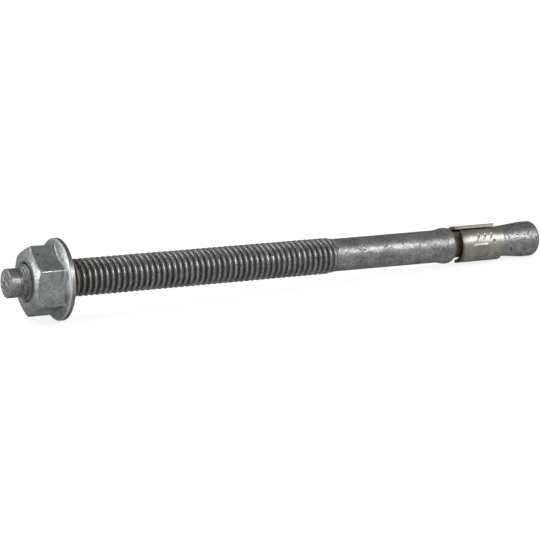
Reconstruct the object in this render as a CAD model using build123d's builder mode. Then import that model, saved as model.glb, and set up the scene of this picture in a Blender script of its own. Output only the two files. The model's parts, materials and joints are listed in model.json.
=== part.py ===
from build123d import *
import os
from math import asin, atan2, cos, degrees, hypot, radians, sin, tan

# Wedge anchor, size 3/8 inch with 16 threads to the inch, 6 1/4 inches long. Millimetres.
# It lies as it comes to rest, on the rim of its nut's flange and on its own rounded far end.
# A station is a distance along the stud's axis, counted from the free face of the dog point.
# A turn is an angle round that axis, counted from the top towards -Y.

os.makedirs("parts", exist_ok=True)

inch = 25.4

# Stud, one cold-formed piece. Its thread is a plain cylinder at the major diameter.
stud_length = 6.25 * inch
thread_diameter = 0.375 * inch
thread_pitch = inch / 16
thread_end = 92.0
thread_run_out = 2.4
shank_diameter = 8.84
shank_end_diameter = 9.0
dog_diameter = 7.45
dog_length = 3.6
dog_edge_rounding = 0.45

# Collar, the bead that stops the clip. It and the land go down the same drilled hole as the clip,
# so each is a little under the clip's radius.
collar_under_clip = 0.105
collar_to_end = 32.65
collar_swell = 1.9
collar_land = 1.5
collar_fall = 1.7
collar_swell_rounding = 3.0
collar_land_rounding = 2.0
collar_fall_rounding = 1.0

# Neck, and the cone that spreads the clip, which ends in a short plain land
neck_gap = 0.62
cone_to_end = 18.75
cone_half_angle = 5.3
land_under_clip = 0.16
cone_blend_rounding = 12.0
land_rounding = 6.0
end_rounding = 1.5

# Flange nut
across_flats = 0.625 * inch
nut_height = 9.35
nut_station = 5.35
nut_turn = 1.0
nut_chamfer_angle = 20.0
nut_face_diameter = 12.3
flange_diameter = 21.0
flange_rim_thickness = 1.3
flange_top_angle = 25.0
flange_rim_rounding = 0.6
flange_back_bevel = 0.3
countersink_diameter = 10.4
countersink_angle = 45.0
thread_clearance = 0.05

# Expansion clip, rolled from sheet, with an open split and a slot opposite the split
clip_diameter = 10.16
clip_length = 13.95
clip_wall = 0.91
clip_edge_bevel = 0.15
clip_split_angle = 39.0
clip_split_turn = 11.5
clip_slot_width = 3.4
clip_slot_length = 6.0
cone_clearance = 0.05

# What follows from those sizes, for the stud and its fits
cone_slope = tan(radians(cone_half_angle))
thread_radius = thread_diameter / 2
shank_radius = shank_diameter / 2
shank_end_radius = shank_end_diameter / 2
dog_radius = dog_diameter / 2
clip_radius = clip_diameter / 2
clip_bore_radius = clip_radius - clip_wall
collar_radius = clip_radius - collar_under_clip
collar_start = stud_length - collar_to_end
collar_land_start = collar_start + collar_swell
collar_land_end = collar_land_start + collar_land
neck_start = collar_land_end + collar_fall
neck_radius = clip_bore_radius - neck_gap
cone_start = stud_length - cone_to_end
cone_end_radius = clip_radius - land_under_clip
cone_end = cone_start + (cone_end_radius - neck_radius) / cone_slope

# For the nut, whose bore runs clear of the thread
bore_radius = thread_radius + thread_clearance
corner_radius = across_flats / 2 / cos(radians(30))
face_radius = nut_face_diameter / 2
countersink_radius = countersink_diameter / 2
flange_radius = flange_diameter / 2
nut_back = nut_station + nut_height
rim_front = nut_back - flange_rim_thickness

# For the clip, whose far end seats on the cone
clip_end = cone_start + (clip_bore_radius - cone_clearance - neck_radius) / cone_slope
clip_start = clip_end - clip_length

# In the lengthwise section the ground touches the corner at the back of the flange's rim and the
# circle that rounds the stud's end. The axis has the slope at which both are on one level.
contact_station = nut_back - flange_back_bevel
end_circle_station = stud_length - end_rounding
end_circle_radius = cone_end_radius - end_rounding
reach = end_circle_station - contact_station
drop = flange_radius - end_circle_radius
slope = atan2(drop, reach) - asin(end_rounding / hypot(reach, drop))
axis_height = contact_station * sin(slope) + flange_radius * cos(slope)

# The origin is on the ground, halfway between the ends of the stud.
lowest_x = dog_edge_rounding * (cos(slope) - 1) - (dog_radius - dog_edge_rounding) * sin(slope)
highest_x = end_circle_station * cos(slope) + end_circle_radius * sin(slope) + end_rounding
dog_centre = Vector(-(lowest_x + highest_x) / 2, 0, axis_height)

stud_axis = Axis(dog_centre, (cos(slope), 0, -sin(slope)))
cross_section = Plane(dog_centre, x_dir=(sin(slope), 0, cos(slope)), z_dir=stud_axis.direction)


def lengthwise(turn):
    """The plane through the axis whose x is the station and whose y points out at a turn."""
    along = stud_axis.direction
    outward = cross_section.x_dir.rotate(stud_axis, turn)
    return Plane(dog_centre, x_dir=along, z_dir=along.cross(outward))


def draw_outline(*corners):
    """Fills a closed outline in the open sketch. A corner is its station, radius and rounding."""
    with BuildLine() as outline:
        FilletPolyline(
            [(station, radius) for station, radius, rounding in corners],
            radius=[rounding for station, radius, rounding in corners],
            close=True,
        )
    make_face(outline.edges())


# Stud
with BuildPart() as stud:
    with BuildSketch(lengthwise(0)):
        draw_outline(
            (0, 0, 0),
            (0, dog_radius, dog_edge_rounding),
            (dog_length, dog_radius, 0),
            (dog_length + thread_pitch, thread_radius, 0),
            (thread_end, thread_radius, 0),
            (thread_end + thread_run_out, shank_radius, 0),
            (collar_start, shank_end_radius, collar_swell_rounding),
            (collar_land_start, collar_radius, collar_land_rounding),
            (collar_land_end, collar_radius, collar_land_rounding),
            (neck_start, neck_radius, collar_fall_rounding),
            (cone_start, neck_radius, cone_blend_rounding),
            (cone_end, cone_end_radius, land_rounding),
            (stud_length, cone_end_radius, end_rounding),
            (stud_length, 0, 0),
        )
    revolve(axis=stud_axis)

# Nut: a hexagon with a chamfered face, on a flange with a conical top
with BuildPart() as nut:
    chamfer_rise = (corner_radius - face_radius) * tan(radians(nut_chamfer_angle))
    flange_root_radius = across_flats / 2 - flange_rim_thickness
    flange_root = rim_front - (flange_radius - flange_root_radius) * tan(radians(flange_top_angle))
    countersink_depth = (countersink_radius - bore_radius) / tan(radians(countersink_angle))

    with BuildSketch(cross_section.offset(nut_station)):
        RegularPolygon(across_flats / 2, 6, major_radius=False, rotation=nut_turn)
    extrude(amount=nut_height - flange_rim_thickness / 2)

    with BuildSketch(lengthwise(0)):
        draw_outline(
            (nut_station, 0, 0),
            (nut_station, face_radius, 0),
            (nut_station + chamfer_rise, corner_radius, 0),
            (nut_back, corner_radius, 0),
            (nut_back, 0, 0),
        )
    revolve(axis=stud_axis, mode=Mode.INTERSECT)

    with BuildSketch(lengthwise(0)):
        draw_outline(
            (flange_root, 0, 0),
            (flange_root, flange_root_radius, 0),
            (rim_front, flange_radius, flange_rim_rounding),
            (nut_back - flange_back_bevel, flange_radius, 0),
            (nut_back, flange_radius - flange_back_bevel, 0),
            (nut_back, 0, 0),
        )
    revolve(axis=stud_axis)

    with BuildSketch(lengthwise(0)):
        draw_outline(
            (nut_station, 0, 0),
            (nut_station, countersink_radius, 0),
            (nut_station + countersink_depth, bore_radius, 0),
            (nut_back - countersink_depth, bore_radius, 0),
            (nut_back, countersink_radius, 0),
            (nut_back, 0, 0),
        )
    revolve(axis=stud_axis, mode=Mode.SUBTRACT)

# Clip: the wall is rolled round the neck from one edge of the split to the other
with BuildPart() as clip:
    with BuildSketch(lengthwise(clip_split_turn + clip_split_angle / 2)):
        draw_outline(
            (clip_start, clip_bore_radius, 0),
            (clip_start, clip_radius - clip_edge_bevel, 0),
            (clip_start + clip_edge_bevel, clip_radius, 0),
            (clip_end - clip_edge_bevel, clip_radius, 0),
            (clip_end, clip_radius - clip_edge_bevel, 0),
            (clip_end, clip_bore_radius, 0),
        )
    revolve(axis=stud_axis, revolution_arc=360 - clip_split_angle)

    # The slot is open at the collar and ends in a half circle.
    slot_side = lengthwise(clip_split_turn + 180)
    slot_plane = Plane(dog_centre, x_dir=slot_side.x_dir, z_dir=slot_side.y_dir)
    with BuildSketch(slot_plane):
        with Locations((clip_start, 0)):
            SlotOverall(2 * clip_slot_length, clip_slot_width)
    extrude(amount=clip_diameter, mode=Mode.SUBTRACT)

for piece, name in ((stud, "stud"), (nut, "nut"), (clip, "clip")):
    piece.part.label = name
    export_step(piece.part, f"parts/{name}.step")

print(f"slope {degrees(slope):.3f} degrees, dog centre {dog_centre.X:.3f}, {dog_centre.Z:.3f}")
print(f"clip from {clip_start:.2f} to {clip_end:.2f}, neck from {neck_start:.2f}")
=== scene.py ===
import json
import math

import bmesh
import bpy
from mathutils import Matrix, Vector, noise


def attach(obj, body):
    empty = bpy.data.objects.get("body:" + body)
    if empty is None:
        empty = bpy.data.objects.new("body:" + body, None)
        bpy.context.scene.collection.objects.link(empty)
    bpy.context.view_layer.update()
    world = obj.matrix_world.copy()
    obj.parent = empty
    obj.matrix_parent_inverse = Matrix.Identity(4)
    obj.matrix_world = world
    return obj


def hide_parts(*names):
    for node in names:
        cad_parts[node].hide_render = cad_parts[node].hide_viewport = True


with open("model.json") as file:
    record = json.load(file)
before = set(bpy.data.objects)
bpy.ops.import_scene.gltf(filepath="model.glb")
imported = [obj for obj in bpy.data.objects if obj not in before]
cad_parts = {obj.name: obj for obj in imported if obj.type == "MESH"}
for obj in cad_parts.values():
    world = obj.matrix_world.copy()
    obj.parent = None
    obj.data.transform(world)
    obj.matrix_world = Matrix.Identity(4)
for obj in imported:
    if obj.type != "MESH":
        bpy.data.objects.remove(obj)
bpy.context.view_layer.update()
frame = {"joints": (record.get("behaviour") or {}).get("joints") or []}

# A wedge anchor, 3/8 inch by 6 1/4 inches, hot-dip galvanised, lying on a pale floor.
# A station is a distance in millimetres along the stud, from the free face of its dog point.
# A turn is an angle round the stud, from the top towards -Y.

mm = 0.001
clipJoint = next(joint for joint in frame["joints"] if joint["name"] == "clip_turn")
clipMiddle = 139.169                              # station of the clip joint's point
along = Vector(clipJoint["axis"]).normalized()
upright = Vector((-along.z, 0, along.x))
dogCentre = Vector(clipJoint["pos_m"]) - along * clipMiddle * mm
tilted = Matrix((upright, along.cross(upright), along)).transposed().to_4x4()
layDown = Matrix.Translation(dogCentre) @ tilted @ Matrix.Scale(mm, 4)


# Shapes

def ramp(low, high, value):
    # A smooth step from 0 at low to 1 at high.
    part = min(1, max(0, (value - low) / (high - low)))
    return part * part * (3 - 2 * part)


def roundedPath(corners, arcSteps):
    # Points of an open path through (station, radius, rounding) corners.
    points = []
    for index, (station, radius, rounding) in enumerate(corners):
        here = Vector((station, radius))
        if rounding == 0 or index in (0, len(corners) - 1):
            points.append(here)
            continue
        before = (Vector(corners[index - 1][:2]) - here).normalized()
        after = (Vector(corners[index + 1][:2]) - here).normalized()
        halfAngle = before.angle(after) / 2
        back = rounding / math.tan(halfAngle)
        centre = here + (before + after).normalized() * rounding / math.sin(halfAngle)
        first = here + before * back - centre
        last = here + after * back - centre
        sweep = first.angle_signed(last)
        for step in range(arcSteps + 1):
            arm = first.copy()
            arm.rotate(Matrix.Rotation(-sweep * step / arcSteps, 2))
            points.append(centre + arm)
    return points


def divide(points, longest):
    # longest(station) is the longest run allowed there.
    divided = [points[0]]
    for here, there in zip(points, points[1:]):
        pieces = max(1, math.ceil((there - here).length / longest((here.x + there.x) / 2)))
        divided += [here.lerp(there, (step + 1) / pieces) for step in range(pieces)]
    return divided


def spinSection(section, steps):
    # Turns a section of (station, radius) points round the stud's axis. Its "row" layer numbers the points.
    mesh = bmesh.new()
    row = mesh.verts.layers.int.new("row")
    ring = []
    for index, point in enumerate(section):
        vertex = mesh.verts.new((point.y, 0, point.x))
        vertex[row] = index
        ring.append(vertex)
    edges = [mesh.edges.new(pair) for pair in zip(ring, ring[1:])]
    bmesh.ops.spin(
        mesh, geom=ring + edges, cent=(0, 0, 0), axis=(0, 0, 1), angle=math.tau, steps=steps, use_merge=True)
    bmesh.ops.remove_doubles(mesh, verts=mesh.verts, dist=1e-4)
    bmesh.ops.recalc_face_normals(mesh, faces=mesh.faces)
    return mesh


def finishPiece(mesh, name, body, node, material):
    # Lays a mesh in millimetres down in its place, where it stands for its node.
    bmesh.ops.transform(mesh, matrix=layDown, verts=mesh.verts)
    data = bpy.data.meshes.new(name)
    mesh.to_mesh(data)
    mesh.free()
    data.shade_smooth()
    data.materials.append(material)
    piece = bpy.data.objects.new(name, data)
    bpy.context.scene.collection.objects.link(piece)
    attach(piece, body)
    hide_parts(node)
    print(name, len(data.vertices), "points")
    return piece


# Finishes

class Wire:
    # A node's output, so that sums of outputs can be written out.
    def __init__(self, wiring, socket):
        self.wiring = wiring
        self.socket = socket

    def sum(self, operation, first, second):
        return self.wiring.add("Math", {"operation": operation}, {0: first, 1: second})

    def __add__(self, other):
        return self.sum("ADD", self, other)

    def __radd__(self, other):
        return self.sum("ADD", other, self)

    def __sub__(self, other):
        return self.sum("SUBTRACT", self, other)

    def __rsub__(self, other):
        return self.sum("SUBTRACT", other, self)

    def __mul__(self, other):
        return self.sum("MULTIPLY", self, other)

    def __rmul__(self, other):
        return self.sum("MULTIPLY", other, self)


class Wiring:
    # The node tree of a material or a world, and the way in which nodes are added to it.
    def __init__(self, owner):
        owner.use_nodes = True
        self.tree = owner.node_tree

    def add(self, kind, settings, inputs, output=0):
        node = self.tree.nodes.new("ShaderNode" + kind)
        for key, value in settings.items():
            setattr(node, key, value)
        for key, value in inputs.items():
            self.join(value, node.inputs[key])
        return Wire(self, node.outputs[output])

    def join(self, value, socket):
        if isinstance(value, Wire):
            self.tree.links.new(value.socket, socket)
        else:
            socket.default_value = value


edgeTint = (0.35, 0.35, 0.35, 1)                  # keeps oxidised metal dull where it is seen edge on
bumpDistance = 0.1 * mm


class Finish(Wiring):
    # A metal finish in Object coordinates.
    def __init__(self, name):
        self.material = bpy.data.materials.new(name)
        super().__init__(self.material)
        self.shader = self.tree.nodes["Principled BSDF"]
        self.place = self.add("TexCoord", {}, {}, "Object")

    def noise(self, scale, detail, roughness):
        inputs = {"Vector": self.place, "Scale": scale, "Detail": detail, "Roughness": roughness}
        return self.add("TexNoise", {}, inputs)

    def between(self, value, low, high, start=0, end=1):
        # A smooth step from start at low to end at high.
        inputs = {"Value": value, "From Min": low, "From Max": high, "To Min": start, "To Max": end}
        return self.add("MapRange", {"interpolation_type": "SMOOTHSTEP"}, inputs)

    def band(self, value, low, lowFull, highFull, high):
        # 1 from lowFull to highFull, and 0 below low and above high.
        return self.between(value, low, lowFull) * self.between(value, high, highFull)

    def mix(self, factor, first, second):
        return self.add("Mix", {"data_type": "RGBA"}, {0: factor, 6: first, 7: second}, 2)

    def distance(self, radius=0, turn=0):
        # How far each point lies from a line along the stud, and its station, in millimetres.
        line = layDown @ Vector((radius * math.cos(turn), radius * math.sin(turn), 0))
        arm = self.add("VectorMath", {"operation": "SUBTRACT"}, {0: self.place, 1: line})
        way = self.add("VectorMath", {"operation": "DOT_PRODUCT"}, {0: arm, 1: along}, 1)
        cross = self.add("VectorMath", {"operation": "CROSS_PRODUCT"}, {0: arm, 1: along})
        off = self.add("VectorMath", {"operation": "LENGTH"}, {0: cross}, 1)
        return off * (1 / mm), way * (1 / mm)

    def apply(self, colour, roughness, height, strength, metallic):
        self.join(colour, self.shader.inputs["Base Color"])
        self.join(roughness, self.shader.inputs["Roughness"])
        self.shader.inputs["Metallic"].default_value = metallic
        self.shader.inputs["Specular Tint"].default_value = edgeTint
        inputs = {"Strength": strength, "Distance": bumpDistance, "Height": height}
        self.join(self.add("Bump", {}, inputs), self.shader.inputs["Normal"])
        return self.material


zinc = {
    "dull": (0.08, 0.082, 0.081, 1), "bright": (0.175, 0.178, 0.175, 1),
    "pit": (0.018, 0.016, 0.014, 1), "rust": (0.07, 0.05, 0.033, 1),
    # On the next line, the near-black brown after the stain is a painted shade.
    "stain": (0.19, 0.145, 0.07, 1), "paintedShade": (0.024, 0.022, 0.019, 1),
    # On the next line, the worn grey also paints a glint on the nut's rim, and the pale blue-grey is a
    # painted sheen.
    "wornAndGlint": (0.45, 0.45, 0.43, 1), "sheen": (0.4, 0.415, 0.42, 1),
    "metallic": 0.85, "roughness": 0.32,
    # Scale, detail and roughness of each pattern
    "clouds": (260, 3, 0.55), "spangle": (1500, 3, 0.6), "grain": (5200, 2, 0.6), "pits": (1150, 2, 0.5),
    "patches": (500, 4, 0.6), "specks": (900, 1, 0.5), "scuffs": (1300, 3, 0.6),
}


def lifted(colour, lift):
    return (*(part * more for part, more in zip(colour, lift)), 1)


def zincSkin(finish, lift, pitted):
    # Hot-dip zinc: fine spangle, soft clouds and a few pits. Gives its colour, brightness and height.
    clouds = finish.noise(*zinc["clouds"])
    spangle = finish.noise(*zinc["spangle"])
    grain = finish.noise(*zinc["grain"])
    tone = finish.between(clouds * 0.35 + spangle * 0.4 + grain * 0.25, 0.38, 0.64)
    pits = finish.between(finish.noise(*zinc["pits"]), pitted, pitted + 0.04)
    colour = finish.mix(tone, lifted(zinc["dull"], lift), lifted(zinc["bright"], lift))
    height = clouds * 0.5 + spangle * 0.9 + grain * 0.6 - pits * 1.2
    return finish.mix(pits, colour, zinc["pit"]), tone, height


studMarks = {                                     # bands are stations
    "lift": (1, 1, 1), "pitted": 0.66, "bump": 0.5,
    "thread": (4, 6, 92, 95), "grooveRadii": (4.6, 4.05),
    "shadeBand": (20, 60), "shadeShare": (0.65, 0.45),
    "speckBand": (96, 150), "speckShare": (0.67, 0.71),
    "rustBand": (27, 16), "stainBand": (128.6, 130, 132.8, 134),
}


def studZinc():
    finish = Finish("studZinc")
    colour, tone, height = zincSkin(finish, studMarks["lift"], studMarks["pitted"])
    radius, station = finish.distance()
    inThread = finish.band(station, *studMarks["thread"])
    groove = inThread * finish.between(radius, *studMarks["grooveRadii"])
    # Painted shade darkens the thread's roots, more strongly towards the nut.
    paintedShade = finish.between(station, *studMarks["shadeBand"], *studMarks["shadeShare"])
    colour = finish.mix(groove * paintedShade, colour, zinc["paintedShade"])
    specks = finish.between(finish.noise(*zinc["specks"]), *studMarks["speckShare"])
    specks = specks * finish.between(station, *studMarks["speckBand"])
    colour = finish.mix(specks, colour, zinc["pit"])
    patches = finish.between(finish.noise(*zinc["patches"]), 0.46, 0.6)
    nearNut = inThread * finish.between(station, *studMarks["rustBand"]) * (0.25 + patches * 0.35)
    nearClip = finish.band(station, *studMarks["stainBand"]) * patches
    colour = finish.mix(nearNut, colour, zinc["rust"])
    colour = finish.mix(nearClip * 0.8, colour, zinc["stain"])
    roughness = zinc["roughness"] + (1 - tone) * 0.16 + groove * 0.2 - inThread * 0.1 + nearNut * 0.25
    return finish.apply(colour, roughness, height - specks * 0.8, studMarks["bump"], zinc["metallic"])


nutMarks = {                                      # lines and radii are distances from the stud's axis
    "lift": (1.16, 1.22, 1.2), "pitted": 0.69, "bump": 0.28, "rougher": 0.04,
    "wornCorners": (1, 4), "cornerLine": 9.2, "cornerWidth": (0.22, 0.12), "cornerStart": (6.2, 6.8),
    "sheenLine": 9.6, "sheenTurn": 80, "sheenWidth": (4.5, 2), "sheenStart": (12.2, 12.5),
    "shadeRadii": (10.3, 10.45), "shadeStart": (13.55, 13.8),
    "glintRadii": (9.9, 10.15), "glintEnd": (13.7, 13.5),
}


def nutZinc():
    finish = Finish("nutZinc")
    colour, tone, height = zincSkin(finish, nutMarks["lift"], nutMarks["pitted"])
    # The zinc is rubbed off along two of the corners.
    scuffs = finish.between(finish.noise(*zinc["scuffs"]), 0.5, 0.58)
    wornAndGlint = 0
    for corner in nutMarks["wornCorners"]:
        turn = math.radians(nut["turn"] + 60 * corner)
        off, station = finish.distance(nutMarks["cornerLine"], turn)
        wornAndGlint = wornAndGlint + finish.between(off, *nutMarks["cornerWidth"])
    wornAndGlint = wornAndGlint * scuffs * finish.between(station, *nutMarks["cornerStart"]) * 0.75
    colour = finish.mix(wornAndGlint, colour, zinc["wornAndGlint"])
    # A painted sheen lightens a patch of the flange's cone.
    off, station = finish.distance(nutMarks["sheenLine"], math.radians(nutMarks["sheenTurn"]))
    sheen = finish.between(off, *nutMarks["sheenWidth"]) * finish.between(station, *nutMarks["sheenStart"])
    colour = finish.mix(sheen * (0.4 + tone * 0.2), colour, zinc["sheen"])
    # The rim's lip gets a painted highlight in the worn-zinc colour, and its side a painted shade.
    radius, station = finish.distance()
    sideShade = finish.between(radius, *nutMarks["shadeRadii"]) * finish.between(station, *nutMarks["shadeStart"])
    lipGlint = finish.between(radius, *nutMarks["glintRadii"]) * finish.between(station, *nutMarks["glintEnd"])
    colour = finish.mix(lipGlint * 0.25, colour, zinc["wornAndGlint"])
    colour = finish.mix(sideShade * 0.5, colour, zinc["paintedShade"])
    roughness = zinc["roughness"] + nutMarks["rougher"] + (1 - tone) * 0.1 - wornAndGlint * 0.1
    return finish.apply(colour, roughness, height, nutMarks["bump"], zinc["metallic"])


clipSkin = {
    "dull": (0.12, 0.113, 0.103, 1), "bright": (0.205, 0.195, 0.18, 1), "edge": (0.07, 0.04, 0.022, 1),
    "pit": (0.02, 0.017, 0.014, 1), "cut": (0.33, 0.31, 0.27, 1),
    "metallic": 1, "roughness": 0.36, "bump": 0.18,
    # Scale, detail and roughness of each pattern
    "clouds": (300, 4, 0.6), "grain": (3800, 2, 0.6), "pits": (1400, 2, 0.5),
    # Millimetres from the clip's start, from the dimple's middle, and in from the outside
    "edgeBand": (1.7, 0.9), "cutBand": (1, 2), "dimpleBand": (0.5, 0.3), "cutDepth": (0.15, 0.3),
}


def clipSteel():
    finish = Finish("clipSteel")
    start, outside = clip["start"], clip["radius"]
    clouds = finish.noise(*clipSkin["clouds"])
    grain = finish.noise(*clipSkin["grain"])
    tone = finish.between(clouds * 0.7 + grain * 0.3, 0.36, 0.64)
    pits = finish.between(finish.noise(*clipSkin["pits"]), 0.7, 0.75)
    colour = finish.mix(tone, clipSkin["dull"], clipSkin["bright"])
    colour = finish.mix(pits, colour, clipSkin["pit"])
    radius, station = finish.distance()
    browned = finish.between(station + clouds * 1.6, *(start + part for part in clipSkin["edgeBand"]))
    colour = finish.mix(browned * 0.75, colour, clipSkin["edge"])
    # The dimple's hollow is darkened to the colour of a pit.
    turn, middle = math.radians(clip["dimple"][0]), clip["dimple"][1]
    dimple = layDown @ Vector((outside * math.cos(turn), outside * math.sin(turn), start + middle))
    away = finish.add("VectorMath", {"operation": "DISTANCE"}, {0: finish.place, 1: dimple}, 1) * (1 / mm)
    colour = finish.mix(finish.between(away, *clipSkin["dimpleBand"]), colour, clipSkin["pit"])
    cut = finish.between(radius, *(outside - part for part in clipSkin["cutDepth"]))
    cut = cut * finish.between(station, *(start + part for part in clipSkin["cutBand"]))
    colour = finish.mix(cut * 0.7, colour, clipSkin["cut"])
    roughness = clipSkin["roughness"] + (1 - tone) * 0.06
    height = clouds * 0.5 + grain * 0.3 - pits * 0.5
    return finish.apply(colour, roughness, height, clipSkin["bump"], clipSkin["metallic"])


# Stud: one spun piece whose thread is pressed in afterwards, as it is when rolled

stud = {
    "length": 158.75, "steps": 108, "arcSteps": 8, "longestRun": 0.5,
    "dogRadius": 3.725, "dogLength": 3.6, "dogRounding": 0.45,
    "crestRadius": 4.86, "rootRadius": 4.02, "pitch": 1.5875, "threadEnd": 92.0, "runOut": 2.4,
    "rowsPerPitch": 12, "ridgeRise": (0.02, 0.72), "ridgeShare": 0.75,
    "shankRadius": 4.42, "shankEndRadius": 4.5,
    # The collar's swell and length are measured from its start.
    "collarStart": 126.5, "collarSwell": 1.9, "collarLength": 3.7, "collarRadius": 4.97,
    "swellRounding": 3.0, "collarRounding": 2.0, "fallRounding": 1.4,
    "neckStart": 132.0, "neckRadius": 3.55, "neckBlend": 12.0,
    "coneStart": 140.0, "coneEnd": 154.77, "landRadius": 4.92, "landBlend": 6.0, "endRounding": 1.5,
    "lump": 0.035, "lumpScale": 0.9,
    "cropped": 0.3, "croppedScale": 1.1, "croppedInside": 2.8,
    "turnedPitch": 0.55, "turnedDepth": 0.09, "turnedBand": (2.6, 3.2),
}


def studRadius(station, turn, plain):
    # The stud's radius with its thread pressed in, where plain is the radius without.
    threadOut = stud["threadEnd"] + stud["runOut"]
    if station < stud["dogLength"] - 1 or station > threadOut:
        return plain
    wave = 0.5 + 0.5 * math.cos(math.tau * (station / stud["pitch"] - turn / math.tau))
    share = stud["ridgeShare"]
    ridge = share * ramp(*stud["ridgeRise"], wave) + (1 - share) * wave
    thread = stud["rootRadius"] + (stud["crestRadius"] - stud["rootRadius"]) * ridge
    if station < stud["dogLength"] + stud["pitch"]:
        # Fine turned rings run round the step from the dog point to the thread.
        rings = 0.5 - 0.5 * math.cos(math.tau * station / stud["turnedPitch"])
        return min(plain, thread) - stud["turnedDepth"] * rings * ramp(*stud["turnedBand"], station)
    fade = ramp(threadOut, stud["threadEnd"] - 1, station)
    return thread * fade + stud["shankRadius"] * (1 - fade)


def makeStud(material):
    section = roundedPath([
        (0, 0, 0),
        (0, stud["dogRadius"], stud["dogRounding"]),
        (stud["dogLength"], stud["dogRadius"], 0),
        (stud["dogLength"] + stud["pitch"], stud["crestRadius"], 0),
        (stud["threadEnd"], stud["crestRadius"], 0),
        (stud["threadEnd"] + stud["runOut"], stud["shankRadius"], 0),
        (stud["collarStart"], stud["shankEndRadius"], stud["swellRounding"]),
        (stud["collarStart"] + stud["collarSwell"], stud["collarRadius"], stud["collarRounding"]),
        (stud["collarStart"] + stud["collarLength"], stud["collarRadius"], stud["collarRounding"]),
        (stud["neckStart"], stud["neckRadius"], stud["fallRounding"]),
        (stud["coneStart"], stud["neckRadius"], stud["neckBlend"]),
        (stud["coneEnd"], stud["landRadius"], stud["landBlend"]),
        (stud["length"], stud["landRadius"], stud["endRounding"]),
        (stud["length"], 0, 0),
    ], stud["arcSteps"])
    rowLength = stud["pitch"] / stud["rowsPerPitch"]
    firstRow = 0.4
    lastRow = stud["threadEnd"] + stud["runOut"] + 0.5
    section = divide(section, lambda at: rowLength if firstRow < at < lastRow else stud["longestRun"])
    mesh = spinSection(section, stud["steps"])
    for vertex in mesh.verts:
        x, y, station = vertex.co
        plain = math.hypot(x, y)
        if plain < 0.01:
            continue
        radius = studRadius(station, math.atan2(y, x), plain)
        radius -= stud["lump"] * (0.5 + 0.5 * noise.noise(vertex.co * stud["lumpScale"]))
        if station < 0.3:                         # the cropped end is a little lumpy
            lump = 0.5 + noise.noise(vertex.co * stud["croppedScale"])
            station += stud["cropped"] * lump * ramp(stud["dogRadius"], stud["croppedInside"], plain)
        vertex.co = (x * radius / plain, y * radius / plain, station)
    return finishPiece(mesh, "anchorStud", "stud", "stud", material)


# Nut: a hexagon with a low chamfer, on a flange

nut = {
    "front": 5.15, "back": 14.7, "acrossFlats": 16.1, "turn": 2.5, "cornerRounding": 0.4,
    "faceRadius": 6.6, "faceRounding": 1.2, "chamferAngle": 21, "edgeRounding": 0.6,
    "boreRadius": 4.87, "boreRounding": 0.1, "mouthRadius": 5.2, "mouthDepth": 0.4, "mouthRounding": 0.15,
    "flangeRadius": 10.5, "rimThickness": 1.3, "rimRounding": 0.35, "topAngle": 25, "footRounding": 0.5,
    "steps": 360, "arcSteps": 5, "runPieces": 4,
    "lump": 0.03, "lumpScale": 0.7, "lumpsFrom": 6,
}


def hexRadius(turn):
    # The hexagon's radius at a turn, with its corners rounded.
    apothem, rounding = nut["acrossFlats"] / 2, nut["cornerRounding"]
    sixth = math.radians(60)
    fromCorner = abs((turn - math.radians(nut["turn"]) + sixth / 2) % sixth - sixth / 2)
    tangent = sixth / 2 - math.atan((apothem - rounding) * math.tan(sixth / 2) / apothem)
    if fromCorner > tangent:
        return apothem / math.cos(sixth / 2 - fromCorner)
    reach = (apothem - rounding) / math.cos(sixth / 2)
    return reach * math.cos(fromCorner) + math.sqrt(rounding ** 2 - (reach * math.sin(fromCorner)) ** 2)


def nutSection(hexagon):
    # The hexagon's radius at this turn is the only thing that changes from section to section.
    front, back, bore, mouth = nut["front"], nut["back"], nut["boreRadius"], nut["mouthRadius"]
    chamfer = front + (hexagon - nut["faceRadius"]) * math.tan(math.radians(nut["chamferAngle"]))
    rimFront = back - nut["rimThickness"]
    foot = rimFront - (nut["flangeRadius"] - hexagon) * math.tan(math.radians(nut["topAngle"]))
    points = roundedPath([
        (back - nut["mouthDepth"], bore, 0),
        (front + nut["mouthDepth"], bore, nut["boreRounding"]),
        (front, mouth, nut["mouthRounding"]),
        (front, nut["faceRadius"], nut["faceRounding"]),
        (chamfer, hexagon, nut["edgeRounding"]),
        (foot, hexagon, nut["footRounding"]),
        (rimFront, nut["flangeRadius"], nut["rimRounding"]),
        (back, nut["flangeRadius"], nut["rimRounding"]),
        (back, mouth, nut["mouthRounding"]),
        (back - nut["mouthDepth"], bore, 0),
    ], nut["arcSteps"])
    section = [points[0]]
    for index, (here, there) in enumerate(zip(points, points[1:])):
        straight = index % (nut["arcSteps"] + 1) == 0       # a straight run comes before each rounding
        pieces = nut["runPieces"] if straight else 1
        section += [here.lerp(there, (step + 1) / pieces) for step in range(pieces)]
    return section


def makeNut(material):
    pattern = nutSection(nut["acrossFlats"] / 2 + 0.5)      # spun for its rows: each turn has its own section
    mesh = spinSection(pattern, nut["steps"])
    row = mesh.verts.layers.int["row"]
    sections = {}
    for vertex in mesh.verts:
        x, y, station = vertex.co
        turn = math.atan2(y, x)
        degree = round(math.degrees(turn))
        if degree not in sections:
            sections[degree] = nutSection(hexRadius(turn))
        point = sections[degree][vertex[row]]
        radius = point.y
        if radius > nut["lumpsFrom"]:                       # the bore stays true, so it clears the thread
            radius -= nut["lump"] * (0.5 + 0.5 * noise.noise(vertex.co * nut["lumpScale"]))
        vertex.co = (radius * math.cos(turn), radius * math.sin(turn), point.x)
    return finishPiece(mesh, "flangeNut", "nut", "nut", material)


# Clip: a flat blank with a slot, rolled round the neck and given its thickness

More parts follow.
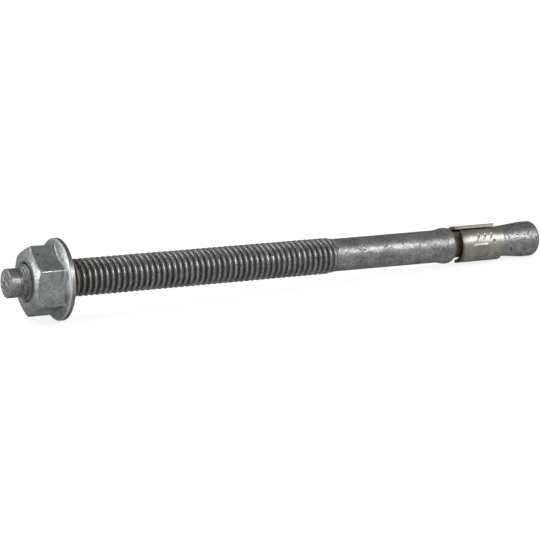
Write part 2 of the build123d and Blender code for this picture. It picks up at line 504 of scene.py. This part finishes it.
clip = {
    "start": 132.544, "length": 13.6, "radius": 5.08, "wall": 0.91, "edge": 0.13,
    "splitTurn": 10.25, "splitAngle": 35.5, "slotWidth": 3.4, "slotLength": 6.0,
    "cornerRounding": 0.45, "slotRounding": 0.3, "arcSteps": 10,
    # Marks on the blank, at (turn in degrees, millimetres from the start): a plain pad, nicks and a dimple
    "pad": (102, 6.1), "padSize": (1.9, 2.5), "padCorner": 0.5, "padRise": 0.14,
    "nicks": ((60, 5.2), (60, 7.3), (60, 9.4)), "nickWay": (1.7, -0.7), "nickDepth": 0.12,
    "dimple": (74, 10.3), "dimpleDepth": 0.25,
    # The blank is cut into a grid, which is finer between these turns and these places, for the marks.
    "gridAcross": 0.35, "gridDown": 0.5, "fineGrid": 0.14, "fineTurns": (45, 128), "finePlaces": (2.4, 11.2),
}
sheetDegree = clip["radius"] * math.tau / 360     # millimetres of sheet to one degree of turn


def clipRelief(across, down):
    # Height of the sheet's marks at a place on the flat blank, in millimetres.
    turn, middle = clip["pad"]
    halfWidth, halfLength = clip["padSize"]
    outAcross = max(0, abs(across - turn * sheetDegree) - halfWidth + clip["padCorner"])
    outDown = max(0, abs(down - middle) - halfLength + clip["padCorner"])
    out = math.hypot(outAcross, outDown)
    height = clip["padRise"] * (ramp(0.62, 0.3, out) - 0.4 * ramp(0.12, 0, out))
    way = Vector(clip["nickWay"])
    for turn, middle in clip["nicks"]:
        there = Vector((across - turn * sheetDegree, down - middle)) + way / 2
        off = (there - way * min(1, max(0, there.dot(way) / way.length_squared))).length
        height -= clip["nickDepth"] * ramp(0.3, 0.1, off)
    turn, middle = clip["dimple"]
    away = math.hypot(across - turn * sheetDegree, down - middle)
    return height - clip["dimpleDepth"] * ramp(0.45, 0.2, away)


def cutGrid(mesh, axis, low, high, coarse, fineFrom, fineTo):
    # Cuts the flat blank across one axis, finely where its marks are.
    normal = Vector((0, 0, 0))
    normal[axis] = 1
    at = low
    while at < high - coarse:
        at += clip["fineGrid"] if fineFrom < at < fineTo else coarse
        whole = mesh.verts[:] + mesh.edges[:] + mesh.faces[:]
        bmesh.ops.bisect_plane(mesh, geom=whole, plane_co=normal * at, plane_no=normal, dist=1e-4)


def makeClip(material):
    left = (clip["splitTurn"] + clip["splitAngle"] / 2) * sheetDegree
    right = left + (360 - clip["splitAngle"]) * sheetDegree
    slot = (clip["splitTurn"] + 180) * sheetDegree
    half, depth, top = clip["slotWidth"] / 2, clip["slotLength"], clip["length"]
    slotEnd = half * 0.999                        # all but a half circle
    outline = roundedPath([
        ((left + slot) / 2, 0, 0),
        (slot - half, 0, clip["slotRounding"]),
        (slot - half, depth, slotEnd),
        (slot + half, depth, slotEnd),
        (slot + half, 0, clip["slotRounding"]),
        (right, 0, clip["cornerRounding"]),
        (right, top, clip["cornerRounding"]),
        (left, top, clip["cornerRounding"]),
        (left, 0, clip["cornerRounding"]),
        ((left + slot) / 2, 0, 0),
    ], clip["arcSteps"])[:-1]
    mesh = bmesh.new()
    mesh.faces.new([mesh.verts.new((point.x, point.y, 0)) for point in outline])
    fineLeft, fineRight = (turn * sheetDegree for turn in clip["fineTurns"])
    cutGrid(mesh, 0, left, right, clip["gridAcross"], fineLeft, fineRight)
    cutGrid(mesh, 1, 0, top, clip["gridDown"], *clip["finePlaces"])
    for vertex in mesh.verts:                     # rolls the blank up
        turn = vertex.co.x / clip["radius"]
        radius = clip["radius"] + clipRelief(vertex.co.x, vertex.co.y)
        vertex.co = (radius * math.cos(turn), radius * math.sin(turn), clip["start"] + vertex.co.y)
    anyFace = mesh.faces[:][0]
    anyFace.normal_update()
    centre = anyFace.calc_center_median()
    if anyFace.normal.dot(Vector((centre.x, centre.y, 0))) < 0:
        bmesh.ops.reverse_faces(mesh, faces=mesh.faces)
    piece = finishPiece(mesh, "expansionClip", "clip", "clip", material)
    wall = piece.modifiers.new("wall", "SOLIDIFY")
    wall.thickness = clip["wall"] * mm
    wall.offset = -1
    edges = piece.modifiers.new("edges", "BEVEL")
    edges.width = clip["edge"] * mm
    edges.segments = 3
    edges.limit_method = "ANGLE"
    edges.angle_limit = math.radians(50)
    edges.harden_normals = True
    return piece


makeStud(studZinc())
makeNut(nutZinc())
makeClip(clipSteel())


# Studio

studio = {
    "camera": (-0.2704, -0.4922, 0.1471), "target": (-0.0046, 0, 0.0056), "lens": 145.3, "sensor": 36,
    "sky": 0.9, "zenith": 0.45, "zenithBand": (0.45, 0.95),
    "floor": (0.9, 0.9, 0.9, 1), "floorRoughness": 0.9, "floorGlow": 0.8, "floorHalf": 3,
    "lamps": {                                    # place, width, height, watts
        "strip": ((0.28, -0.47, 0.31), 0.55, 0.18, 4.4),
        "left": ((-0.73, 0.24, 0.105), 0.4, 0.2, 4.8),
        "edge": ((-0.74, -0.2, 0.2), 0.1, 0.16, 0.26),
        "back": ((-0.5, 0.37, 0.57), 0.4, 0.4, 2.4),
        "top": ((-0.3, 0.1, 0.75), 0.5, 0.3, 2.6),
    },
}


def whiteToLens(wiring):
    # 1 where the lens, a reflection or a see-through thing looks, 0 where light falls.
    total = wiring.add("LightPath", {}, {}, "Is Camera Ray")
    for name in ("Is Glossy Ray", "Is Transmission Ray"):
        ray = wiring.add("LightPath", {}, {}, name)
        total = wiring.add("Math", {"operation": "ADD", "use_clamp": True}, {0: total, 1: ray})
    return total


def makeSky():
    # The sky is white round the horizon and greyer overhead, as in a room with a white backdrop.
    world = bpy.data.worlds.new("studio")
    bpy.context.scene.world = world
    wiring = Wiring(world)
    background = wiring.tree.nodes["Background"]
    background.inputs["Color"].default_value = (1, 1, 1, 1)
    way = wiring.add("TexCoord", {}, {}, "Generated")
    up = wiring.add("SeparateXYZ", {}, {0: way}, "Z")
    low, high = studio["zenithBand"]
    inputs = {"Value": up, "From Min": low, "From Max": high, "To Min": 1, "To Max": studio["zenith"]}
    seen = wiring.add("MapRange", {}, inputs)
    level = wiring.add("Mix", {}, {0: whiteToLens(wiring), 2: studio["sky"], 3: seen})
    wiring.join(level, background.inputs["Strength"])


def floorPaint():
    # The floor's glow makes it white to the lens, and its paint takes the anchor's shadow.
    material = bpy.data.materials.new("paleFloor")
    wiring = Wiring(material)
    paint = wiring.tree.nodes["Principled BSDF"]
    paint.inputs["Base Color"].default_value = studio["floor"]
    paint.inputs["Roughness"].default_value = studio["floorRoughness"]
    paint.inputs["Specular IOR Level"].default_value = 0
    glow = wiring.add("Emission", {}, {})
    share = whiteToLens(wiring) * studio["floorGlow"]
    surface = wiring.add("MixShader", {}, {0: share, 1: Wire(wiring, paint.outputs[0]), 2: glow})
    wiring.join(surface, wiring.tree.nodes["Material Output"].inputs["Surface"])
    return material


def makeFloor():
    plane = bmesh.new()
    bmesh.ops.create_grid(plane, x_segments=8, y_segments=8, size=studio["floorHalf"])
    data = bpy.data.meshes.new("floor")
    plane.to_mesh(data)
    plane.free()
    data.materials.append(floorPaint())
    floor = bpy.data.objects.new("floor", data)
    bpy.context.scene.collection.objects.link(floor)


def aim(thing, place, target):
    thing.location = place
    thing.rotation_euler = (Vector(target) - Vector(place)).to_track_quat("-Z", "Y").to_euler()


def makeLamps():
    for name, (place, width, height, watts) in studio["lamps"].items():
        lamp = bpy.data.lights.new(name, "AREA")
        lamp.shape = "RECTANGLE"
        lamp.size = width
        lamp.size_y = height
        lamp.energy = watts
        holder = bpy.data.objects.new(name, lamp)
        bpy.context.scene.collection.objects.link(holder)
        aim(holder, place, (0, 0, 0))


def makeCamera():
    lens = bpy.data.cameras.new("camera")
    lens.lens = studio["lens"]
    lens.sensor_width = studio["sensor"]
    lens.clip_start = 0.01
    camera = bpy.data.objects.new("camera", lens)
    bpy.context.scene.collection.objects.link(camera)
    aim(camera, studio["camera"], studio["target"])
    bpy.context.scene.camera = camera


makeSky()
makeFloor()
makeLamps()
makeCamera()
bpy.context.scene.view_settings.view_transform = "Standard"
print("studio", len(studio["lamps"]), "lamps")
